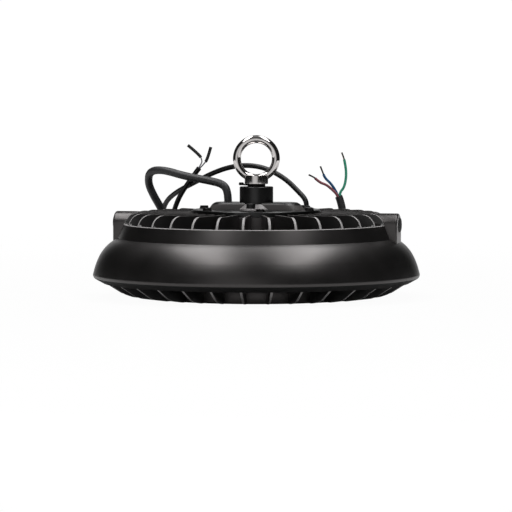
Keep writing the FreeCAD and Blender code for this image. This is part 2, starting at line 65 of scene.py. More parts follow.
# Sizes of the casting
SINK_TOP = high("heat_sink", 2)
SKIRT_RADIUS = 143.29  # the widest edge
SKIRT_EDGE_HEIGHT = 17.9
SKIRT_EDGE_ROUND = 3.6
LIP_RADIUS = 133.5  # the lower edge of the rim
LIP_HEIGHT = 12.5
BELLY_RADIUS = 140.2  # a slight bulge of the flank
BELLY_HEIGHT = 30.0
BELLY_ROUND = 60.0
SHOULDER_RADIUS = 131.7  # where flank and top would meet
SHOULDER_HEIGHT = 46.7
FOOT_RADIUS = 120.6  # the line at the foot of the collar
FOOT_HEIGHT = 51.6
COLLAR_RADIUS = 115.7  # the top edge of the collar
COLLAR_HEIGHT = 64.0
SKIRT_WALL = 3.0
OVERLAP = 2.0  # by which a part of the casting reaches into its neighbour
FIN_COUNT = 32
FIN_THICKNESS = 2.2
FIN_EDGE_ROUND = 0.55
FIN_CROWN_ROUND = 12.0
FIN_TIP_RADIUS = 100.0
FIN_BOW = ((12.0, 1.6, 10.0), (18.5, 3.9, 8.0))  # lower edge: out from the tip, up, rounded
ROOT_FILLET = 2.6
ROOT_LEAN = 0.39  # inwards with height, as the collar
CORE_RADIUS = 97.0  # the seat of the LED board
CORE_BOTTOM = low("heat_sink", 2)
RIM_WALL = 3.5
SEAT_HEIGHT = 8.0
SEAT_TOP = 13.0
WELL_RADIUS = 56.0  # the driver well
WELL_WALL = 6.5
WELL_HEIGHT = low("cover_screws", 2) + 7.5
LID_MARGIN = 1.2
PLUG_HEIGHT = 1.6
PLUG_RADIUS = 6.4
EAR_END = high("side_plugs", 0) - PLUG_HEIGHT
EAR_DEPTH = 22.0
EAR_WIDTH = 24.4
EAR_EDGE_ROUND = 1.6
EAR_FOOT = 46.0
BORE_HEIGHT = 64.0

# Sizes of the lid and what stands on it
LID_TOP = low("vent_plug", 2)
LID_EDGE_ROUND = 1.2
BAR_LENGTH = 86.0
BAR_WIDTH = 26.0
BAR_HEIGHT = 6.3
BAR_ROUND = 2.4
BAR_END_SLOPE = 0.9
BOSS_RADIUS = 14.65
BOSS_TOP = high("driver_cover", 2)
BOSS_FLARE = 3.3
BOSS_FLARE_HEIGHT = 4.9
THREAD_RADIUS = 5.0
TAP_DEPTH = 12.0
VENT_OFFSET = 25.0
VENT_BASE_RADIUS = 6.3
VENT_BASE_HEIGHT = 1.6
VENT_CAP_RADIUS = 3.9
VENT_CAP_TOP = 6.0
SCREW_CIRCLE = 51.2
SCREW_COUNT = 6
FIRST_SCREW = 45.0
SCREW_FLATS = 6.4
SCREW_HEAD_HEIGHT = 1.7
SCREW_WASHER_RADIUS = 4.0
SCREW_WASHER_THICKNESS = 0.7
MAINS_GLAND_PLACE = (-29.5, 20.6)
DIMMER_GLAND_PLACE = (39.6, 26.3)

# Sizes of the lifting eye, which is turned a little from the ears, and of its washer
EYE_TURN = Matrix.Rotation(math.radians(11.25), 4, "Z")
WASHER_BOTTOM = low("tab_washer", 2)
WASHER_THICKNESS = 2.2
WASHER_RADIUS = 7.8
TONGUE_WIDTH = 3.6
TONGUE_OUTLINE = [  # a thin strip with a thick bent end
    (-6.8, 0.9),
    (-10.6, 0.9),
    (-11.4, 1.1),
    (-14.9, 1.1),
    (-15.3, 1.5),
    (-15.3, 3.3),
    (-14.9, 3.6),
    (-11.6, 3.6),
    (-11.0, 2.9),
    (-10.3, 2.1),
    (-6.8, 2.1),
]
EYE_SEAT = WASHER_BOTTOM + WASHER_THICKNESS
EYE_COLLAR_RADIUS = 10.3
EYE_COLLAR_TOP = EYE_SEAT + 7.9
EYE_HOLE = 27.0
EYE_STOCK = 7.0
EYE_MIDDLE = EYE_SEAT + 22.1

# Sizes of the lens
LENS_RADIUS = 93.1
LENS_THICKNESS = 3.0

# Cables: the points of their routes, from the mouth of the gland to the stripped end
MAINS_DIAMETER = 7.0
MAINS_ROUTE = [
    (-29.5, 20.6, 80.3),
    (-29.5, 20.6, 89.6),
    (-33.6, 21.9, 97.4),
    (-49.0, 24.7, 100.6),
    (-70.5, 29.8, 103.9),
    (-91.6, 36.8, 109.2),
    (-106.0, 45.2, 107.8),
    (-109.6, 54.0, 96.8),
    (-105.6, 59.4, 85.0),
    (-100.0, 65.8, 73.3),
    (-96.4, 77.2, 59.0),
    (-85.5, 91.6, 54.6),
    (-58.8, 111.2, 54.4),
    (-22.7, 124.5, 54.3),
    (11.6, 126.2, 53.9),
    (40.3, 126.3, 50.1),
    (51.3, 128.5, 56.7),
    (55.2, 129.3, 70.1),
    (50.5, 128.3, 83.1),
]
DIMMER_DIAMETER = 4.5
DIMMER_ROUTE = [
    (39.6, 26.3, 78.9),
    (39.6, 26.3, 83.7),
    (30.8, 30.0, 91.9),
    (21.8, 33.3, 100.0),
    (10.6, 36.9, 106.8),
    (-3.1, 41.2, 112.0),
    (-18.8, 47.2, 113.5),
    (-35.0, 53.2, 111.5),
    (-52.2, 59.0, 105.6),
    (-69.0, 66.8, 97.3),
    (-87.2, 78.5, 89.0),
    (-100.4, 90.1, 80.1),
    (-106.8, 101.1, 69.7),
    (-111.8, 111.8, 61.0),
    (-110.3, 111.1, 47.0),
    (-104.1, 100.6, 40.0),
    (-98.5, 91.0, 49.0),
    (-95.0, 86.4, 61.5),
    (-90.4, 76.8, 72.9),
    (-84.3, 71.9, 84.9),
    (-76.2, 66.4, 95.5),
    (-64.8, 63.0, 109.9),
]
CORE_DIAMETER = 2.4
TIP_DIAMETER = 1.5
BROWN_ROUTE = [(49.8, 126.9, 82.7), (49.0, 126.7, 85.0), (45.4, 125.3, 88.8), (40.3, 122.2, 93.7),
               (34.6, 119.0, 95.7), (30.8, 117.3, 99.6)]
BROWN_TIP = (25.3, 115.1, 102.8)
BLUE_ROUTE = [(49.7, 129.7, 82.8), (48.9, 129.5, 85.1), (47.0, 129.2, 89.0), (43.1, 127.9, 94.9),
              (38.0, 126.9, 99.5), (36.8, 126.6, 102.9)]
BLUE_TIP = (34.0, 126.1, 110.2)
EARTH_ROUTE = [(52.0, 128.3, 83.6), (51.2, 128.1, 85.9), (55.8, 128.4, 91.5), (57.4, 128.7, 101.0),
               (56.9, 128.6, 110.0), (55.5, 128.3, 116.4)]
EARTH_TIP = (53.3, 127.9, 122.8)
WIRE_DIAMETER = 1.2
SLEEVE_DIAMETER = 2.8
FIRST_WIRE_ROUTE = [(-65.4, 62.6, 109.6), (-64.9, 62.6, 110.5), (-63.3, 63.7, 113.2),
                    (-62.0, 64.1, 116.4), (-63.4, 63.9, 119.4)]
FIRST_SLEEVE_END = (-74.8, 61.6, 130.4)
SECOND_WIRE_ROUTE = [(-64.2, 63.8, 109.8), (-63.6, 63.8, 110.6), (-61.6, 64.2, 112.6),
                     (-59.2, 64.6, 115.6)]
SECOND_SLEEVE_END = (-54.6, 65.6, 128.8)

# Studio, in a frame that looks the way the camera does: across, away, up
VIEW_TURN = math.radians(11.25)
VIEW_HEIGHT = math.radians(3.35)  # of the camera over the table, as an angle
VIEW_DISTANCE = 3060.0
VIEW_AIM = 35.6  # height of the middle of the picture
PICTURE_WIDTH = 512
PIXEL = 0.874  # of the photograph, at the middle of the lamp
SIDE_SHIFT = -0.4  # pixels by which the picture's middle is right of the lamp's axis
SENSOR_WIDTH = 36.0
SOFT_BOX_WIDTH = 400.0
SOFT_BOX_LENGTH = 1760.0
SOFT_BOX_RADIANCE = 5.5
SOFT_BOXES = (  # place, and the direction of the long side
    ("left_soft_box", (-495, -110, 1250), (0.21, 1, 0)),
    ("right_soft_box", (460, -110, 1250), (-0.23, 1, 0)),
)
LIT_PLACE = (0, 0, 60)  # that the boxes face
TABLE_REACH = 1000.0
TABLE_GAP = 0.05  # below the lens, so that no two faces lie in one plane
SHADOW_REACH = 150.0  # up to here from the lamp's axis the floor glows least
WHITE_REACH = 800.0  # and from here on it glows fully white
LEAST_GLOW_SEEN = 0.96  # share of the glow near the lamp, to the camera
LEAST_GLOW_MIRRORED = 0.03  # and in the lamp's gloss
ROOM_GLOW = 0.015
GLOWS = (  # direction, degrees from it to the full and the last glow, and how strong
    ((0, 1, 0), 8.0, 25.0, 1.0),
    ((-0.25, -1, 0), 12.0, 34.0, 0.7),
    ((0, -0.1, 1), 15.0, 40.0, 0.25),
)


# Materials


def linear(hex_colour):
    """sRGB hex to linear RGBA."""
    values = [int(hex_colour[i:i + 2], 16) / 255 for i in (1, 3, 5)]
    return [v / 12.92 if v <= 0.04045 else ((v + 0.055) / 1.055) ** 2.4 for v in values] + [1.0]


def add(tree, kind, inputs, **settings):
    """Adds a node with its settings, and sets or links its inputs by name or number."""
    node = tree.nodes.new(kind)
    for name, value in settings.items():
        setattr(node, name, value)
    for name, value in inputs.items():
        if isinstance(value, bpy.types.NodeSocket):
            tree.links.new(value, node.inputs[name])
        else:
            node.inputs[name].default_value = value
    return node.outputs


def per_grain(size):
    """Noise scale whose grains are about this many millimetres."""
    return 1 / (size * MM)


def finish(name, dark, pale, roughness, grain, depth, mottle=30.0, spread=0.05, **sockets):
    """A surface whose colour and gloss change slowly, with a fine grain in its relief."""
    material = bpy.data.materials.new(name)
    material.use_nodes = True
    tree = material.node_tree
    tree.nodes.clear()
    place = add(tree, "ShaderNodeTexCoord", {})["Object"]
    slow = add(tree, "ShaderNodeTexNoise",
               {"Vector": place, "Scale": per_grain(mottle), "Detail": 3.0})["Fac"]
    fine = add(tree, "ShaderNodeTexNoise",
               {"Vector": place, "Scale": per_grain(grain), "Detail": 2.0})["Fac"]
    colour = add(tree, "ShaderNodeMix", {0: slow, 6: linear(dark), 7: linear(pale)},
                 data_type="RGBA")[2]
    gloss = add(tree, "ShaderNodeMapRange",
                {"Value": slow, "From Min": 0.3, "From Max": 0.7,
                 "To Min": roughness - spread, "To Max": roughness + spread})["Result"]
    relief = add(tree, "ShaderNodeBump",
                 {"Height": fine, "Strength": 0.35, "Distance": depth * MM})["Normal"]
    inputs = {"Base Color": colour, "Roughness": gloss, "Normal": relief}
    inputs.update({socket.replace("_", " "): value for socket, value in sockets.items()})
    shader = add(tree, "ShaderNodeBsdfPrincipled", inputs)["BSDF"]
    add(tree, "ShaderNodeOutputMaterial", {"Surface": shader})
    return material


def powder_coat():
    """Polyester powder coat, baked: satin black, with a faint orange peel that softens glints."""
    return finish("satin_black_powder_coat", "#050505", "#0a0909", 0.355, 1.6, 0.02, spread=0.03,
                  Specular_IOR_Level=1.0, Specular_Tint=linear("#fff9f8"))


def painted_shade_coat():
    """Painted shade under the rim: the coat made blackest and dull there."""
    return finish("dull_black_painted_shade", "#050505", "#090909", 0.60, 1.2, 0.03,
                  Specular_IOR_Level=0.2)


def lid_coat():
    """Powder coat on the machined lid and its boss: blacker and smoother than on the casting."""
    return finish("smooth_black_powder_coat", "#050505", "#0a0a0a", 0.33, 2.0, 0.01)


def fin_coat():
    """The same coat on the cast fins, a little greyer where the draft of the mould rubbed it."""
    return finish("powder_coat_on_fins", "#0c0b0b", "#171515", 0.40, 1.6, 0.02,
                  Specular_IOR_Level=0.8)


def grey_edge_highlight():
    """Grey on the edges of the fins and the sides of the bar: a painted highlight for their light.
    """
    return finish("grey_painted_highlight_on_edges", "#3c3938", "#4e4a49", 0.45, 1.2, 0.02,
                  Specular_IOR_Level=0.8)


def pale_edge_highlight():
    """Pale grey painted on edges and ends that stand out: a painted highlight for the light they
    catch.
    """
    return finish("pale_grey_painted_highlight_on_edges", "#979494", "#adabab", 0.45, 1.0, 0.03)


def foot_highlight_grey():
    """Satin grey on the foot of the boss and the vent: a painted highlight."""
    return finish("satin_grey_painted_highlight_on_foot", "#868383", "#9c9999", 0.35, 1.0, 0.02)


def polyamide():
    """Polyamide, moulded: dull black with the fine grain of a spark-eroded mould."""
    return finish("moulded_black_polyamide", "#0a0a0a", "#121212", 0.50, 0.8, 0.02)


def pvc_sheath():
    """PVC, extruded: charcoal with a waxy sheen that shows as a broad grey line on its top."""
    return finish("extruded_charcoal_pvc", "#2a2a2c", "#38383a", 0.45, 1.2, 0.03)


def black_sheath():
    """Blacker PVC of the thin cable, extruded: the same sheen on less colour."""
    return finish("extruded_black_pvc", "#0c0c0d", "#161617", 0.40, 1.2, 0.03)


def shrink_tube():
    """Polyolefin heat-shrink tube: black, a little glossier than the sheath."""
    return finish("black_shrink_tube", "#0a0a0b", "#151516", 0.35, 1.5, 0.04)


def chrome():
    """Chrome on forged steel: mirror bright, over the slow waves of the forging."""
    return finish("chrome_on_forged_steel", "#d9d6d5", "#cfcbc9", 0.09, 7.0, 0.12,
                  spread=0.03, Metallic=1.0)


def spring_steel():
    """Spring steel, blackened by its temper: dark with a dull shine."""
    return finish("tempered_spring_steel", "#161515", "#201f1e", 0.35, 1.0, 0.02, Metallic=1.0)


def black_oxide():
    """Screw steel, black oxide: darker and duller than bare steel."""
    return finish("black_oxide_on_steel", "#1b1a1a", "#262424", 0.40, 0.8, 0.01, Metallic=0.8)


def core_pvc(colour_name, dark, pale):
    """PVC insulation, dyed through and extruded: plain colour with a soft shine."""
    return finish(f"{colour_name}_pvc_insulation", dark, pale, 0.40, 1.0, 0.02)


def tinned_copper():
    """Copper strands, tinned: dull grey-brown, drawn coarser than the real strands to show."""
    return finish("tinned_copper_strands", "#5e5a50", "#7c776a", 0.40, 0.5, 0.1, Metallic=1.0)


def near_black_copper():
    """Copper strands, drawn nearly black and as coarse as the tinned ones."""
    return finish("near_black_copper_strands", "#121110", "#24211f", 0.45, 0.5, 0.1, Metallic=1.0)


def solder_mask():
    """Solder mask on aluminium, screen printed: flat white with a slight gloss."""
    return finish("white_solder_mask", "#dcdcd8", "#e6e6e2", 0.40, 2.0, 0.01)


def phosphor():
    """Phosphor in silicone, dispensed: deep yellow, a little wet."""
    return finish("yellow_phosphor", "#d8b54a", "#e6c661", 0.35, 0.6, 0.01)


def silicone():
    """Silicone sheet, cut: matt pale grey."""
    return finish("grey_silicone_sheet", "#b9b9b6", "#c6c6c3", 0.60, 2.0, 0.02)


def bare_aluminium():
    """Aluminium, extruded and bare: soft grey metal."""
    return finish("bare_extruded_aluminium", "#9b9c9f", "#a9aaac", 0.40, 1.0, 0.02, Metallic=1.0)


def frosted_polycarbonate():
    """Polycarbonate, moulded with a frosted inside: milky, and it hides the board's detail."""
    return finish("frosted_polycarbonate", "#d5d8d8", "#dfe2e2", 0.35, 1.2, 0.05,
                  IOR=1.585, Transmission_Weight=0.55)


# Mesh builders: a shape is a list of points and a list of faces


def arc(before, at, after, radius, steps):
    """Points that round the corner of a flat outline."""
    before, at, after = Vector(before), Vector(at), Vector(after)
    back = (before - at).normalized()
    ahead = (after - at).normalized()
    half = back.angle(ahead) / 2
    centre = at + (back + ahead).normalized() * (radius / math.sin(half))
    start = at + back * (radius / math.tan(half)) - centre
    end = at + ahead * (radius / math.tan(half)) - centre
    angle = start.angle(end)
    shares = [i / steps for i in range(steps + 1)]
    return [centre + (start * math.sin((1 - t) * angle) + end * math.sin(t * angle))
            / math.sin(angle) for t in shares]


def rounded(points, steps):
    """A closed outline, with a corner rounded where its point has a radius as third value."""
    outline = []
    for i, (x, z, *radius) in enumerate(points):
        if radius:
            before, after = points[i - 1], points[(i + 1) % len(points)]
            outline += arc(before[:2], (x, z), after[:2], radius[0], steps)
        else:
            outline.append(Vector((x, z)))
    return outline


def lathe(outline, steps=128):
    """A closed outline turned round Z."""
    count = len(outline)
    points = []
    for i in range(steps):
        turn = math.tau * i / steps
        points += [(r * math.cos(turn), r * math.sin(turn), z) for r, z in outline]
    faces = []
    for i in range(steps):
        here = i * count
        there = (i + 1) % steps * count
        for j in range(count):
            k = (j + 1) % count
            if max(outline[j][0], outline[k][0]) > 1e-6:  # not on the axis
                faces.append((here + j, there + j, there + k, here + k))
    return points, faces


def stacked(rows):
    """Closed rows of points joined side to side, with a face at each end."""
    points = [point for row in rows for point in row]
    count = len(rows[0])
    faces = [tuple(range(count))[::-1], tuple(range(len(points) - count, len(points)))]
    for start in range(0, len(points) - count, count):
        for i in range(count):
            k = (i + 1) % count
            faces.append((start + i, start + k, start + count + k, start + count + i))
    return points, faces


def plate(outline, thickness, edge_round, segments=2):
    """A flat piece in the XZ plane whose edges are rounded."""
    near = [(x, -thickness / 2, z) for x, z in outline]
    far = [(x, thickness / 2, z) for x, z in outline]
    points, faces = stacked([near, far])
    solid = bmesh.new()
    corners = [solid.verts.new(point) for point in points]
    for face in faces:
        solid.faces.new([corners[i] for i in face])
    bmesh.ops.recalc_face_normals(solid, faces=solid.faces)
    edges = [edge for edge in solid.edges if edge.calc_face_angle() > math.radians(CREASE)]
    bmesh.ops.bevel(solid, geom=edges, offset=edge_round, segments=segments, profile=0.5,
                    affect="EDGES", clamp_overlap=True)
    solid.verts.index_update()
    points = [corner.co.copy() for corner in solid.verts]
    faces = [tuple(corner.index for corner in face.verts) for face in solid.faces]
    solid.free()
    return points, faces


def merged(*shapes):
    """Several shapes as one."""
    points, faces = [], []
    for some_points, some_faces in shapes:
        start = len(points)
        points += some_points
        faces += [tuple(start + i for i in face) for face in some_faces]
    return points, faces


def placed(shape, matrix):
    """A shape moved and turned to its place."""
    points, faces = shape
    return [matrix @ Vector(point) for point in points], faces


def around(shape, count, first=0.0):
    """Copies of a shape, evenly turned round Z."""
    turns = [math.radians(first + 360.0 * i / count) for i in range(count)]
    return merged(*[placed(shape, Matrix.Rotation(turn, 4, "Z")) for turn in turns])


def claimed(piece, material, nodes):
    """Puts a piece with its finish in the scene, on the root body, in place of CAD nodes that it
    hides.
    """
    piece.data.materials.append(material)
    bpy.context.scene.collection.objects.link(piece)
    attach(piece, "root")
    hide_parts(*nodes)
    return piece


def piece(name, shape, material, *nodes, crease=CREASE):
    """A smooth-shaded mesh of a shape, sharp only where it turns by more than the crease."""
    points, faces = shape
    mesh = bpy.data.meshes.new(name)
    mesh.from_pydata([Vector(point) * MM for point in points], [], faces)
    solid = bmesh.new()
    solid.from_mesh(mesh)
    bmesh.ops.remove_doubles(solid, verts=solid.verts, dist=1e-6)
    bmesh.ops.recalc_face_normals(solid, faces=solid.faces)
    solid.to_mesh(mesh)
    solid.free()
    mesh.shade_smooth()
    mesh.set_sharp_from_angle(angle=math.radians(crease))
    return claimed(bpy.data.objects.new(name, mesh), material, nodes)


def coated(part, material, covers):
    """A second finish on the faces of a piece that a test picks."""
    part.data.materials.append(material)
    index = len(part.data.materials) - 1
    for face in part.data.polygons:
        if covers(face.center / MM, face.normal):
            face.material_index = index
    return part


def flexible(name, route, diameter, material, *nodes):
    """A round cable, core or sleeve on one smooth line."""
    curve = bpy.data.curves.new(name, "CURVE")
    curve.dimensions = "3D"
    curve.bevel_depth = diameter / 2 * MM
    curve.bevel_resolution = 6
    curve.resolution_u = 16
    curve.use_fill_caps = True
    line = curve.splines.new("NURBS")
    line.points.add(len(route) - 1)
    for point, place in zip(line.points, route):
        point.co = (*(Vector(place) * MM), 1.0)
    line.order_u = 3
    line.use_endpoint_u = True
    return claimed(bpy.data.objects.new(name, curve), material, nodes)


# The casting


def shoulder_round():
    """Radius of the shoulder, whose round ends just before the foot of the collar."""
    shoulder = Vector((SHOULDER_RADIUS, SHOULDER_HEIGHT))
    reach = Vector((FOOT_RADIUS, FOOT_HEIGHT)) - shoulder
    flank = Vector((BELLY_RADIUS, BELLY_HEIGHT)) - shoulder
    return 0.995 * reach.length * math.tan(reach.angle(flank) / 2)


def skirt(coat, painted_shade_coat, edge_highlight_coat):
    """Turned shell with a soft shoulder and a crisp line at the foot of its collar.

    Painted shade dulls the coat under the rim; a painted highlight greys the collar's top edge."""
    wall = SKIRT_WALL
    outline = [
        (LIP_RADIUS, LIP_HEIGHT, 0.6),
        (SKIRT_RADIUS, SKIRT_EDGE_HEIGHT, SKIRT_EDGE_ROUND),
        (BELLY_RADIUS, BELLY_HEIGHT, BELLY_ROUND),
        (SHOULDER_RADIUS, SHOULDER_HEIGHT, shoulder_round()),
        (FOOT_RADIUS, FOOT_HEIGHT),
        (COLLAR_RADIUS, COLLAR_HEIGHT, 0.9),
        # and down again on the inside, which shows only between the fins
        (COLLAR_RADIUS - wall, COLLAR_HEIGHT, 0.9),
        (FOOT_RADIUS - wall - 0.7, FOOT_HEIGHT - wall / 2),
        (SHOULDER_RADIUS - wall - 1.0, SHOULDER_HEIGHT - wall, 12.0),
        (SKIRT_RADIUS - wall - 1.7, SKIRT_EDGE_HEIGHT + 1.2, 2.0),
        (LIP_RADIUS - 1.3, LIP_HEIGHT + 1.4, 0.5),
    ]
    shell = piece("cast_skirt", lathe(rounded(outline, 10), 256), coat, "heat_sink")
    # painted shade: dull black coat on the faces under the rim
    coated(shell, painted_shade_coat, lambda centre, normal: (
        normal.z < -0.6 and centre.z < SKIRT_EDGE_HEIGHT))
    # painted highlight: pale grey on the top edge of the collar
    return coated(shell, edge_highlight_coat, lambda centre, normal: (
        normal.z > 0.5 and centre.z > COLLAR_HEIGHT - 1))


def fin_outline():
    """Side view of a fin, its ends inside the walls that it joins."""
    lean = (FOOT_RADIUS - COLLAR_RADIUS) / (COLLAR_HEIGHT - FOOT_HEIGHT)
    crown = COLLAR_RADIUS - 0.25
    outline = [
        (WELL_RADIUS + LID_MARGIN, SINK_TOP),
        (WELL_RADIUS + LID_MARGIN, WELL_HEIGHT),
        (WELL_RADIUS - OVERLAP, WELL_HEIGHT),
        (WELL_RADIUS - OVERLAP, SEAT_TOP - OVERLAP),
        (CORE_RADIUS - OVERLAP, SEAT_TOP - OVERLAP),
        (CORE_RADIUS - OVERLAP, CORE_BOTTOM),
        (FIN_TIP_RADIUS, CORE_BOTTOM, 3.0),
        *[(FIN_TIP_RADIUS + out, CORE_BOTTOM + up, turn) for out, up, turn in FIN_BOW],
        (LIP_RADIUS - 0.2, LIP_HEIGHT + 1),
        (SKIRT_RADIUS - 4.2, SKIRT_EDGE_HEIGHT + 1),
        (SHOULDER_RADIUS - 5, SHOULDER_HEIGHT - 3.4, 8.0),
        (FOOT_RADIUS - 1.6, FOOT_HEIGHT - 0.6),
        (crown - 0.3, COLLAR_HEIGHT - 0.6),
        (crown, COLLAR_HEIGHT),
        (crown - (SINK_TOP - COLLAR_HEIGHT) * lean, SINK_TOP, FIN_CROWN_ROUND),
    ]
    return rounded(outline, 8)


def on_edge(centre, normal):
    """True for a face that looks along its fin, not across it."""
    out = Vector(centre[:2]).normalized()
    return abs(normal.x * out.y - normal.y * out.x) < 0.8


def fins(coat, edge_highlight_coat, pale_highlight_coat):
    """Fins with painted highlights: edges greyer than sides, most of all the outer and the lower
    ones.
    """
    fin = plate(fin_outline(), FIN_THICKNESS, FIN_EDGE_ROUND)
    ribs = piece("cast_fins", around(fin, FIN_COUNT, 180.0 / FIN_COUNT), coat, "heat_sink")
    # painted highlight: grey on the edges of the fins
    coated(ribs, edge_highlight_coat, on_edge)

    # painted highlight: pale grey on the outer and the lower edges of the fins
    def pale_highlight(centre, normal):
        outer = centre.xy.length > FIN_TIP_RADIUS + 2
        return on_edge(centre, normal) and (outer or centre.z < LIP_HEIGHT + 1.5)

    return coated(ribs, pale_highlight_coat, pale_highlight)


def fin_roots(coat):
    """Fillets on both sides of each fin, where it leaves the top of the collar."""
    reach = ROOT_FILLET
    bow = arc((reach, 0), (0, 0), (0, reach), 0.98 * reach, 6)
    outline = [(-0.5, -0.6), (reach + 0.4, -0.6)] + [tuple(p) for p in bow] + [(-0.5, reach)]
    webs = []
    for side in (-1, 1):
        front = [(COLLAR_RADIUS - 0.35 - ROOT_LEAN * max(z, 0), side * (FIN_THICKNESS / 2 + y),
                  COLLAR_HEIGHT - 0.1 + z) for y, z in outline]
        back = [(COLLAR_RADIUS - SKIRT_WALL + 0.2, y, z) for _, y, z in front]
        webs.append(stacked([front, back]))
    return piece("fin_root_fillets", around(merged(*webs), FIN_COUNT, 180.0 / FIN_COUNT), coat,
                 "heat_sink")


def core(coat):
    """Seat of the LED board with its rim, and the driver well on top."""
    rim = CORE_RADIUS - RIM_WALL
    well = WELL_RADIUS - WELL_WALL
    outline = [
        (0, SEAT_HEIGHT),
        (rim, SEAT_HEIGHT),
        (rim, CORE_BOTTOM, 0.5),
        (CORE_RADIUS, CORE_BOTTOM, 1.0),
        (CORE_RADIUS, SEAT_TOP, 2.0),
        (WELL_RADIUS, SEAT_TOP, 2.0),
        (WELL_RADIUS, WELL_HEIGHT, 0.6),
        (well, WELL_HEIGHT),
        (well, SEAT_TOP),
        (0, SEAT_TOP),
    ]
    return piece("cast_core", lathe(rounded(outline, 4)), coat, "heat_sink")


def ears(coat, end_highlight_coat):
    """Two ears that grow out of the collar, arched round their bores, a painted highlight on their
    ends.
    """
    half = EAR_WIDTH / 2
    turns = [math.pi * i / 24 for i in range(25)]
    arch = [(half * math.cos(t), BORE_HEIGHT + (SINK_TOP - BORE_HEIGHT) * math.sin(t))
            for t in turns]
    ear = plate([(-half, EAR_FOOT), (half, EAR_FOOT)] + arch, EAR_DEPTH, EAR_EDGE_ROUND, 4)
    lay = Matrix.Translation((EAR_END - EAR_DEPTH / 2, 0, 0)) @ Matrix.Rotation(
        math.pi / 2, 4, "Z")
    pair = piece("cast_ears", around(placed(ear, lay), 2), coat, "heat_sink")
    # painted highlight: pale grey on the end faces
    return coated(pair, end_highlight_coat, lambda centre, normal: (
        abs(normal.x) > 0.9 and abs(centre.x) > EAR_END - 1))


# The lid and what stands on it


def lid(coat):
    """Round plate on the well, its top edge rounded."""
    outline = [(0, WELL_HEIGHT), (WELL_RADIUS, WELL_HEIGHT),
               (WELL_RADIUS, LID_TOP, LID_EDGE_ROUND), (0, LID_TOP)]
    return piece("driver_lid", lathe(rounded(outline, 5)), coat, "driver_cover")


def bar(coat, side_highlight_coat):
    """Long raised bar with round, sloping ends, its top edge rounded over, its sides a painted
    highlight.
    """
    radius = BAR_WIDTH / 2
    middle = BAR_LENGTH / 2 - radius
    side = arc((0, 0), (0, BAR_HEIGHT), (BAR_ROUND, BAR_HEIGHT), BAR_ROUND, 7)
    rows = []
    for inset, height in [(0, -1)] + [tuple(p) for p in side]:
        row = []
        for end in (1, -1):
            turns = [math.radians(-90 * end + 7.5 * i) for i in range(25)]
            spot = end * (middle - BAR_END_SLOPE * max(height, 0))
            row += [(spot + (radius - inset) * math.cos(t),
                     (radius - inset) * math.sin(t), LID_TOP + height) for t in turns]
        rows.append(row)
    raised = piece("lid_bar", stacked(rows), coat, "driver_cover")
    # painted highlight: grey on the sides
    return coated(raised, side_highlight_coat, lambda centre, normal: normal.z < 0.6)


def hanging_boss(coat, foot_highlight_coat):
    """Boss with a flared foot painted grey as a highlight, and the tapped hole of the eye."""
    hole = THREAD_RADIUS + 0.2
    outline = [
        (0, LID_TOP - 1),
        (BOSS_RADIUS + BOSS_FLARE, LID_TOP - 1),
        (BOSS_RADIUS + BOSS_FLARE, LID_TOP + 0.6, 0.8),
        (BOSS_RADIUS, LID_TOP + BOSS_FLARE_HEIGHT, 1.0),
        (BOSS_RADIUS, BOSS_TOP, 0.7),
        (hole, BOSS_TOP, 0.4),
        (hole, BOSS_TOP - TAP_DEPTH),
        (0, BOSS_TOP - TAP_DEPTH),
    ]
    boss = piece("hanging_boss", lathe(rounded(outline, 4), 96), coat, "driver_cover")
    # painted highlight: pale grey on the flared foot
    return coated(boss, foot_highlight_coat, lambda centre, normal: (
        centre.z < LID_TOP + BOSS_FLARE_HEIGHT - 0.1))


def vent(coat, cap_plastic):
    """Breather: a low base painted pale grey as a highlight, with a small dished cap."""
    place = Matrix.Translation((0, -VENT_OFFSET, LID_TOP))
    base = [(0, -0.5), (VENT_BASE_RADIUS + 0.6, -0.5),
            (VENT_BASE_RADIUS, VENT_BASE_HEIGHT, 0.5), (0, VENT_BASE_HEIGHT)]
    # painted highlight: the base takes the pale grey of the boss's foot
    piece("vent_boss", placed(lathe(rounded(base, 5), 64), place), coat, "vent_plug")
    foot = VENT_BASE_HEIGHT - 0.4
    dish = VENT_CAP_TOP - 1.0
    cap = [(0, foot), (VENT_CAP_RADIUS, foot), (VENT_CAP_RADIUS, VENT_CAP_TOP, 0.6),
           (1.6, VENT_CAP_TOP, 0.2), (1.6, dish), (0, dish)]
    return piece("vent_cap", placed(lathe(rounded(cap, 4), 48), place), cap_plastic, "vent_plug")


def hexagon(flats, height, edge_round):
    """An upright hexagon, its top edge bevelled."""
    reach = flats / 2 / math.cos(math.pi / 6)
    turns = [math.tau * (i + 0.5) / 6 for i in range(6)]
    levels = [(reach, 0), (reach, height - edge_round), (reach - edge_round, height)]
    return stacked([[(r * math.cos(t), r * math.sin(t), z) for t in turns] for r, z in levels])


def lid_screws(steel):
    """Hexagon screws with a pressed washer, round the edge of the lid."""
    radius, thickness = SCREW_WASHER_RADIUS, SCREW_WASHER_THICKNESS
    outline = [(0, 0), (radius, 0), (radius, thickness, 0.3), (0, thickness)]
    washer = lathe(rounded(outline, 3), 40)
    head = placed(hexagon(SCREW_FLATS, SCREW_HEAD_HEIGHT, 0.4),
                  Matrix.Translation((0, 0, thickness)))
    screw = placed(merged(washer, head), Matrix.Translation((SCREW_CIRCLE, 0, LID_TOP)))
    return piece("lid_screws", around(screw, SCREW_COUNT, FIRST_SCREW), steel, "cover_screws",
                 crease=25.0)


